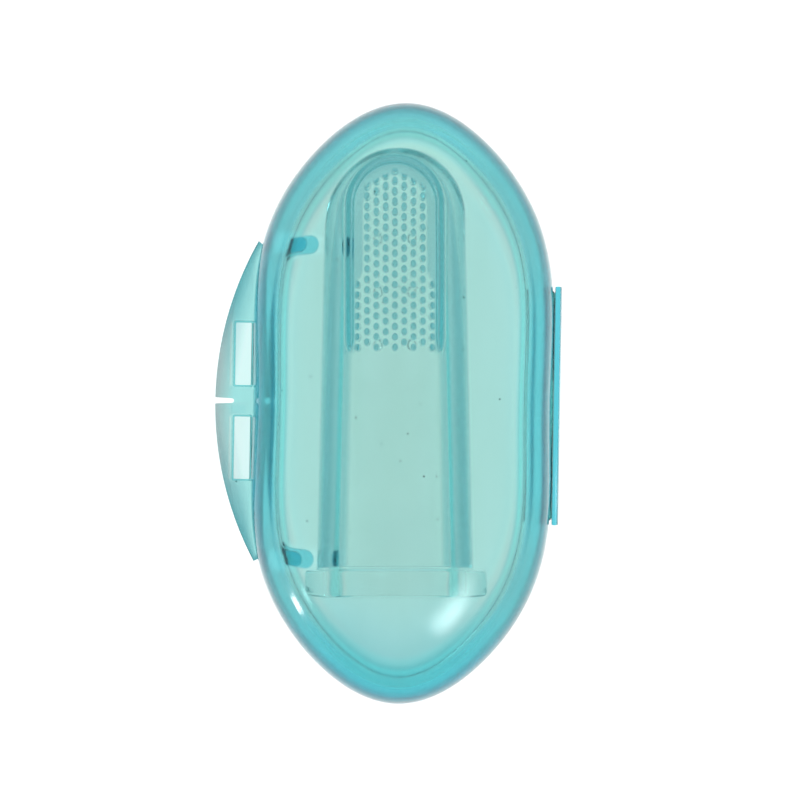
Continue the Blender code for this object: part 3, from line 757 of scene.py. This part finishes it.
def silicone(name):
    """Clear satin silicone: slightly cloudy, with a fine moulded grain, a few specks and painted shade on its skin."""
    mat, nodes, links, shader, out = tree(name)
    shader.inputs["Transmission Weight"].default_value = 1.0
    shader.inputs["IOR"].default_value = 1.24
    coord = nodes.new("ShaderNodeTexCoord")
    cloud = nodes.new("ShaderNodeTexNoise")
    cloud.inputs["Scale"].default_value = 210.0
    cloud.inputs["Detail"].default_value = 5.0
    links.new(coord.outputs["Object"], cloud.inputs["Vector"])
    grain = nodes.new("ShaderNodeTexNoise")
    grain.inputs["Scale"].default_value = 5200.0
    grain.inputs["Detail"].default_value = 3.0
    links.new(coord.outputs["Object"], grain.inputs["Vector"])
    rough_map = nodes.new("ShaderNodeMapRange")
    rough_map.inputs["From Min"].default_value = 0.3
    rough_map.inputs["From Max"].default_value = 0.7
    rough_map.inputs["To Min"].default_value = 0.035
    rough_map.inputs["To Max"].default_value = 0.09
    links.new(cloud.outputs["Fac"], rough_map.inputs["Value"])
    hazy = nodes.new("ShaderNodeAttribute")
    hazy.attribute_name = "skin_haze"
    total = nodes.new("ShaderNodeMath")
    total.operation = "ADD"
    links.new(rough_map.outputs["Result"], total.inputs[0])
    links.new(hazy.outputs["Fac"], total.inputs[1])
    links.new(total.outputs["Value"], shader.inputs["Roughness"])
    speck = nodes.new("ShaderNodeTexVoronoi")
    speck.inputs["Scale"].default_value = 520.0
    links.new(coord.outputs["Object"], speck.inputs["Vector"])
    near = nodes.new("ShaderNodeMapRange")
    near.inputs["From Min"].default_value = 0.05
    near.inputs["From Max"].default_value = 0.09
    near.inputs["To Min"].default_value = 1.0
    near.inputs["To Max"].default_value = 0.0
    links.new(speck.outputs["Distance"], near.inputs["Value"])
    pick = nodes.new("ShaderNodeSeparateColor")
    links.new(speck.outputs["Color"], pick.inputs["Color"])
    few = nodes.new("ShaderNodeMath")
    few.operation = "GREATER_THAN"
    few.inputs[1].default_value = 0.9
    links.new(pick.outputs["Green"], few.inputs[0])
    both = nodes.new("ShaderNodeMath")
    both.operation = "MULTIPLY"
    links.new(near.outputs["Result"], both.inputs[0])
    links.new(few.outputs["Value"], both.inputs[1])
    tone = nodes.new("ShaderNodeValToRGB")
    tone.color_ramp.elements[0].position = 0.3
    tone.color_ramp.elements[1].position = 0.7
    tone.color_ramp.elements[0].color = (0.98, 0.978, 0.97, 1)
    tone.color_ramp.elements[1].color = (1.0, 0.995, 0.99, 1)
    links.new(cloud.outputs["Fac"], tone.inputs["Fac"])
    tone_and_shade = nodes.new("ShaderNodeMix")
    tone_and_shade.data_type = "RGBA"
    tone_and_shade.blend_type = "MULTIPLY"
    tone_and_shade.inputs["Factor"].default_value = 1.0
    painted_shade_of = nodes.new("ShaderNodeAttribute")
    painted_shade_of.attribute_name = "painted_light_shade"
    links.new(tone.outputs["Color"], tone_and_shade.inputs["A"])
    links.new(painted_shade_of.outputs["Color"], tone_and_shade.inputs["B"])
    spot = nodes.new("ShaderNodeMix")
    spot.data_type = "RGBA"
    spot.inputs["B"].default_value = (0.16, 0.17, 0.15, 1)
    links.new(tone_and_shade.outputs["Result"], spot.inputs["A"])
    links.new(both.outputs["Value"], spot.inputs["Factor"])
    links.new(spot.outputs["Result"], shader.inputs["Base Color"])
    bump = nodes.new("ShaderNodeBump")
    bump.inputs["Strength"].default_value = 0.25
    bump.inputs["Distance"].default_value = 0.000006
    links.new(grain.outputs["Fac"], bump.inputs["Height"])
    links.new(bump.outputs["Normal"], shader.inputs["Normal"])
    volume = nodes.new("ShaderNodeVolumeAbsorption")
    volume.inputs["Color"].default_value = (0.5, 0.6, 0.58, 1.0)
    volume.inputs["Density"].default_value = 4.0
    links.new(volume.outputs["Volume"], out.inputs["Volume"])
    return mat


# absorption per metre = density x (1 - colour): 316, 79, 50
TINT = (0.0, 0.75, 0.842)
DENSITY = 316.0
BASE_MAT = plastic("case_base_clear_teal", TINT, DENSITY, 1.0)
LID_MAT = plastic("case_lid_clear_teal", TINT, DENSITY, 2.0)
HINGE_MAT = plastic("hinge_clear_teal", TINT, DENSITY, 3.0, rough=0.09)
SILICONE = silicone("clear_silicone")


# painted light and shade on the outer skin, by the height over the parting plane (1 is the flat), at the long sides,
# at the pointed lower end and at the upper end: deeper teal on the upright walls, lighter on parts of the shoulders
SIDE_PAINTED_LIGHT_SHADE = ((0.0, (0.34, 0.82, 0.78)), (0.60, (0.38, 0.92, 0.88)), (0.67, (0.42, 0.90, 0.87)), (0.72, (0.42, 0.85, 0.84)),
              (0.76, (0.45, 0.74, 0.76)), (0.79, (0.55, 0.71, 0.71)), (0.816, (0.76, 0.84, 0.84)), (0.844, (0.95, 0.92, 0.90)),
              (0.87, (1.0, 0.92, 0.89)), (0.905, (1.0, 0.95, 0.92)), (0.93, (0.87, 0.90, 0.89)), (0.96, (0.92, 0.92, 0.90)),
              (1.0, (0.93, 0.92, 0.89)))
LOW_PAINTED_SHADE = ((0.0, (0.20, 0.75, 0.78)), (0.54, (0.18, 0.76, 0.80)), (0.62, (0.20, 0.60, 0.64)), (0.68, (0.20, 0.57, 0.61)),
             (0.725, (0.34, 0.64, 0.67)), (0.77, (0.45, 0.72, 0.755)), (0.818, (0.56, 0.78, 0.81)), (0.866, (0.66, 0.74, 0.77)),
             (0.904, (0.66, 0.76, 0.785)), (0.944, (0.74, 0.815, 0.84)), (0.9735, (0.82, 0.86, 0.865)), (1.0, (0.90, 0.90, 0.88)))
TOP_PAINTED_LIGHT_SHADE = ((0.0, (0.36, 0.72, 0.70)), (0.60, (0.42, 0.66, 0.63)), (0.64, (0.44, 0.63, 0.61)), (0.68, (0.57, 0.68, 0.70)),
             (0.716, (0.72, 0.78, 0.77)), (0.745, (0.86, 0.89, 0.89)), (0.80, (1.0, 0.97, 0.94)), (0.84, (1.1, 1.0, 0.93)),
             (0.867, (1.04, 0.95, 0.89)), (0.92, (0.95, 0.92, 0.90)), (1.0, (0.93, 0.92, 0.89)))
BARE = (1.04, 1.028, 1.09)         # takes off the faint warm tone, for the inner lugs


def from_table(table, value):
    for (a, ca), (b, cb) in zip(table, table[1:]):
        if value <= b:
            return mix(ca, cb, min(max((value - a) / (b - a), 0.0), 1.0))
    return table[-1][1]


def case_look(co, normal):
    """The upright walls and the shoulders get painted shade, deeper teal than the flats, with painted light on parts
    of the shoulders; they are also a little hazier.
    """
    up = (abs(co.z - PARTING) - GAP / 2) / HIGH
    x = co.x - CASE_X
    if x < -17.6 * MM and abs(co.y) < 21.6 * MM and up < 0.2 and abs(normal.z) > 0.5:       # tab
        if co.z > LID_RIM + FLUSH + LID_TAB + 0.02 * MM and x > -22.62 * MM and 1.7 * MM < abs(co.y) < 10.8 * MM:
            return (0.36, 0.74, 0.79), 0.02               # frames round its windows, painted deeper teal as shade along the window edges
        rim = sqrt((x - 19.5 * MM) ** 2 + co.y ** 2) - 43.6 * MM
        if rim > 0:
            return mix((1.0, 0.80, 0.81), (0.58, 0.73, 0.77), smooth(abs(co.y), 9.0 * MM, 12.0 * MM)), 0.04
        return (1.0, 1.0, 1.0), 0.02
    if x < -19.95 * MM or x > 19.9 * MM:
        return (1.0, 1.0, 1.0), 0.02                      # tab's edge and the ledges
    if -16.8 * MM < x < -9.0 * MM and abs(abs(co.y) - 21.0 * MM) < 3.0 * MM and up < 0.32:
        return BARE, 0.0                                  # lugs
    haze = 0.05 * (1.0 - smooth(up, 0.7, 0.99))
    if normal.dot(co - Vector((CASE_X, 0.0, PARTING))) < 0:
        return (1.0, 1.0, 1.0), haze
    half_l = HALF_L - SHOULDER_Y * (1 - max(1 - min(up, 1.0) ** FULLNESS, 0.0) ** (1 / FULLNESS))
    along = co.y / half_l
    side = from_table(SIDE_PAINTED_LIGHT_SHADE, up)
    # towards the ends of the long sides the painted light and shade turns more red and less green and blue
    slant = smooth(abs(along), 0.25, 0.6) * (1.0 - smooth(up, 0.84, 0.92))
    side = mix(side, tuple(c * d for c, d in zip(side, (1.28, 0.84, 0.82))), slant)
    colour = mix(side, from_table(TOP_PAINTED_LIGHT_SHADE, up), smooth(along, 0.75, 0.97))
    colour = mix(colour, from_table(LOW_PAINTED_SHADE, up), smooth(-along, 0.65, 0.97))
    # where the light also runs through a lug, the wall itself adds little: its painted shade fades out
    if -17.4 * MM < x < -11.0 * MM:
        colour = mix((1.0, 1.0, 1.0), colour, smooth(abs(abs(co.y) - 21.0 * MM), 1.0 * MM, 1.7 * MM))
    return colour, haze


# painted shade of the brush's outer skin across its width (1 is the side edge): deeper teal on the thick side walls
BRUSH_PAINTED_SHADE = ((0.0, (1.0, 1.0, 1.0)), (0.72, (1.0, 1.0, 1.0)), (0.75, (1.0, 1.0, 1.0)), (0.79, (0.74, 0.83, 0.86)),
               (0.845, (0.48, 0.72, 0.77)), (0.90, (0.36, 0.62, 0.69)), (0.956, (0.31, 0.57, 0.65)), (1.0, (0.36, 0.62, 0.68)))


def brush_look(co, normal):
    """Clear over the middle; the thick side walls, the cuff's sides, the guard ridge and the bristles get painted
    shade, deeper teal.
    """
    x, y = abs(co.x), co.y
    if normal.dot(Vector((co.x, 0.0, co.z))) < 0:
        return (1.0, 1.0, 1.0), 0.0
    if y > DOME_FROM:
        u = sqrt((x / 9.37 / MM) ** 2 + ((y - DOME_FROM) / 9.3 / MM) ** 2)
    else:
        u = x / half_width(y)
    colour = from_table(BRUSH_PAINTED_SHADE, u)
    # painted shade at the cuff's sides
    if y < CUFF + 0.3 * MM:
        colour = mix((1.0, 1.0, 1.0), (0.8, 0.9, 0.92), smooth(x, 9.0 * MM, 12.0 * MM))
    if y > 32.0 * MM and co.z > 0:
        rib = sqrt(x * x + max(y - 52.0 * MM, 0.0) ** 2)
        edge = 5.30 * MM - 1.0 * MM * smooth(y, 41.0 * MM, 43.5 * MM)      # where the bristles stop
        root = pad_surface(co.x, min(y, BRUSH_LONG - 0.4 * MM))[0]
        # painted shade over the guard ridge round the bristle field
        ridge_shade = smooth(rib, edge - 0.2 * MM, edge + 0.1 * MM) * (1.0 - smooth(rib, 6.6 * MM, 6.85 * MM))
        ridge_shade *= smooth(y, 32.3 * MM, 33.0 * MM)
        colour = mix(colour, (0.42, 0.64, 0.72), ridge_shade)
        # painted shade on the bristles, deeper teal
        if rib < edge:
            colour = mix(colour, (0.20, 0.48, 0.58), smooth(co.z - root.z, 0.1 * MM, 0.35 * MM))
    return colour, 0.0


def plain_look(co, normal):
    return (1.0, 1.0, 1.0), 0.0


def finish_mesh(obj, mat, angle=40.0):
    obj.data.materials.clear()
    obj.data.materials.append(mat)
    obj.data.set_sharp_from_angle(angle=radians(angle))


for obj, mat, look in ((base, BASE_MAT, case_look), (lid, LID_MAT, case_look), (strip, HINGE_MAT, plain_look),
                       (film_low, HINGE_MAT, plain_look), (film_high, HINGE_MAT, plain_look),
                       (brush, SILICONE, brush_look)):
    finish_mesh(obj, mat)
    paint(obj, look)
brush.data.transform(PLACE)

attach(base, "base")
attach(lid, "lid")
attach(strip, "strip")
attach(brush, "brush")
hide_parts("base_shell")
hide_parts("lid_shell")
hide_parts("hinge_strip")
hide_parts("brush_sleeve", "bristle_pad", "guard_ridge", "massage_nub_1", "massage_nub_2",
            "massage_nub_3", "massage_nub_4", "massage_nub_5", "massage_nub_6")
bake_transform(film_low)
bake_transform(film_high)


# ------------------------------------------------------------ floor, light, camera
def stage_floor():
    bm = bmesh.new()
    n, rows = 96, [0.0, 0.05, 0.1, 0.2, 0.4, 0.8, 1.6, 3.0, 6.0]
    last = [bm.verts.new((0, 0, -0.00012))]
    for radius in rows[1:]:
        ring = [bm.verts.new((radius * cos(2 * pi * i / n), radius * sin(2 * pi * i / n), -0.00012)) for i in range(n)]
        for i in range(n):
            j = (i + 1) % n
            if len(last) == 1:
                bm.faces.new((last[0], ring[i], ring[j]))
            else:
                bm.faces.new((last[i], ring[i], ring[j], last[j]))
        last = ring
    floor = new_object("floor", bm)
    mat, nodes, links, shader, out = tree("pale_floor")
    shader.inputs["Base Color"].default_value = (0.3, 0.3, 0.3, 1)
    shader.inputs["Roughness"].default_value = 0.9
    shader.inputs["Specular IOR Level"].default_value = 0.1
    shader.inputs["Emission Color"].default_value = (1, 1, 1, 1)
    shader.inputs["Emission Strength"].default_value = FLOOR_GLOW
    floor.data.materials.append(mat)
    return floor


FLOOR_GLOW = 1.03
stage_floor()

world = bpy.data.worlds.new("studio")
SCENE.world = world
world.use_nodes = True
wn, wl = world.node_tree.nodes, world.node_tree.links
background = wn["Background"]
wcoord = wn.new("ShaderNodeTexCoord")
wsep = wn.new("ShaderNodeSeparateXYZ")
wramp = wn.new("ShaderNodeValToRGB")
wl.new(wcoord.outputs["Generated"], wsep.inputs["Vector"])
wl.new(wsep.outputs["Z"], wramp.inputs["Fac"])
wramp.color_ramp.elements[0].position = 0.0
wramp.color_ramp.elements[0].color = (0.93, 0.94, 0.95, 1)
wramp.color_ramp.elements[1].position = 1.0
wramp.color_ramp.elements[1].color = (0.14, 0.14, 0.145, 1)
for at, level in ((0.3, 0.85), (0.6, 0.66), (0.85, 0.34)):
    wramp.color_ramp.elements.new(at).color = (level, level * 1.01, level * 1.02, 1)
wl.new(wramp.outputs["Color"], background.inputs["Color"])
background.inputs["Strength"].default_value = 1.0


def lid_spot(px, py):
    """Point and normal of the lid's skin that the camera shows at a place in the frame."""
    dx, dy = (px - 402.36) / 7.5 * MM, -(py - 403.35) / 7.5 * MM
    x = dx * cos(TURN) - dy * sin(TURN)
    y = dx * sin(TURN) + dy * cos(TURN)
    best = None
    for i in range(360):
        a = 2 * pi * i / 360
        for k in range(60):
            t = pi / 2 * k / 60
            p = shell_point(1, a, t)
            d = (p.x - CASE_X - x) ** 2 + (p.y - y) ** 2
            if best is None or d < best[0]:
                best = (d, p, shell_normal(1, a, t))
    return best[1], best[2]


def mirror_light(name, px, py, distance, width, height, radiance, turn=0.0, fade=0.3):
    """A soft box whose reflection shows at that place on the lid."""
    p, n = lid_spot(px, py)
    v = Vector((0, 0, 1))
    direction = (2 * n.dot(v) * n - v).normalized()
    light = bpy.data.lights.new(name, "AREA")
    light.shape = "RECTANGLE"
    light.size, light.size_y = width, height
    light.energy = radiance * width * height * pi
    light.color = (1.0, 1.0, 1.0)
    obj = bpy.data.objects.new(name, light)
    SCENE.collection.objects.link(obj)
    obj.location = p + direction * distance
    obj.rotation_mode = "QUATERNION"
    spin = Matrix.Rotation(turn, 3, "Z").to_quaternion()
    obj.rotation_quaternion = direction.to_track_quat("Z", "Y") @ spin
    # the box is brightest in its middle and fades out to its edges
    light.use_nodes = True
    nodes, links = light.node_tree.nodes, light.node_tree.links
    where = nodes.new("ShaderNodeNewGeometry")
    parts = nodes.new("ShaderNodeSeparateXYZ")
    links.new(where.outputs["Parametric"], parts.inputs["Vector"])
    fades = []
    for axis in ("X", "Y"):
        turn_ = nodes.new("ShaderNodeMath")
        turn_.operation = "MULTIPLY"
        turn_.inputs[1].default_value = pi
        links.new(parts.outputs[axis], turn_.inputs[0])
        wave = nodes.new("ShaderNodeMath")
        wave.operation = "SINE"
        links.new(turn_.outputs["Value"], wave.inputs[0])
        power = nodes.new("ShaderNodeMath")
        power.operation = "POWER"
        power.inputs[1].default_value = fade
        links.new(wave.outputs["Value"], power.inputs[0])
        fades.append(power)
    both = nodes.new("ShaderNodeMath")
    both.operation = "MULTIPLY"
    links.new(fades[0].outputs["Value"], both.inputs[0])
    links.new(fades[1].outputs["Value"], both.inputs[1])
    links.new(both.outputs["Value"], nodes["Emission"].inputs["Strength"])
    return obj


mirror_light("window_left", 298, 604, 0.8, 0.08, 0.20, 44.0)
mirror_light("soft_right", 448, 618, 0.8, 0.22, 0.44, 12.5, fade=1.8)

camera = bpy.data.cameras.new("camera")
camera.sensor_width = 36.0
SIGHT = 1.1
camera.lens = 36.0 * (SIGHT - PARTING) / (800 / 7.5 * MM)
camera.clip_start, camera.clip_end = 0.05, 20.0
cam = bpy.data.objects.new("camera", camera)
SCENE.collection.objects.link(cam)
cam.location = (CASE_X + (400 - 402.36) / 7.5 * MM, (403.35 - 400) / 7.5 * MM, SIGHT)
cam.rotation_euler = (0.0, 0.0, TURN)
SCENE.camera = cam

SCENE.view_settings.view_transform = "Standard"
SCENE.view_settings.look = "None"
SCENE.view_settings.exposure = 0.0
SCENE.view_settings.gamma = 1.0
SCENE.cycles.max_bounces = 40
SCENE.cycles.transmission_bounces = 40
SCENE.cycles.glossy_bounces = 32
SCENE.cycles.diffuse_bounces = 4
SCENE.cycles.transparent_max_bounces = 16
